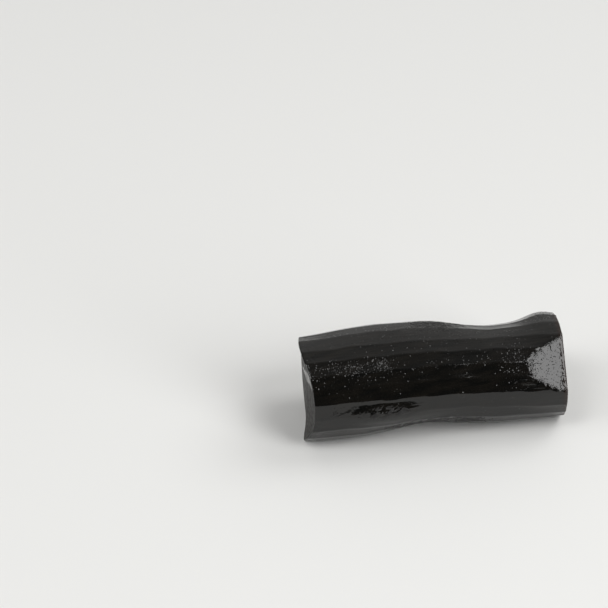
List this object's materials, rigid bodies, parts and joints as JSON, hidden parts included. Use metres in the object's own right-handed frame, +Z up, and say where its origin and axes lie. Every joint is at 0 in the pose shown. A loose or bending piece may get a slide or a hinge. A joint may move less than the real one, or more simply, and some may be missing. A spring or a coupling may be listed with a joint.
{
  "type": "black licorice bite",
  "caption": "Short bite of soft black licorice rope with crisp lengthwise ridges, knife-cut faces at its ends and a flat side to lie on.",
  "frame": {"origin": "under the middle of the bite, at the centre of its bounding box's base, level with the flat side it lies on", "axes": "+Z up, +X along the bite towards the cut whose upper back corner is flared, -Y towards the side that faces the picture"},
  "size_m": [0.0406, 0.0164, 0.0152],
  "materials": {
    "black_licorice": "soft black licorice with a thin oily glaze, near-black with a brown cast"
  },
  "bodies": {
    "root": {"licorice_bite": "black_licorice"}
  },
  "joints": []
}
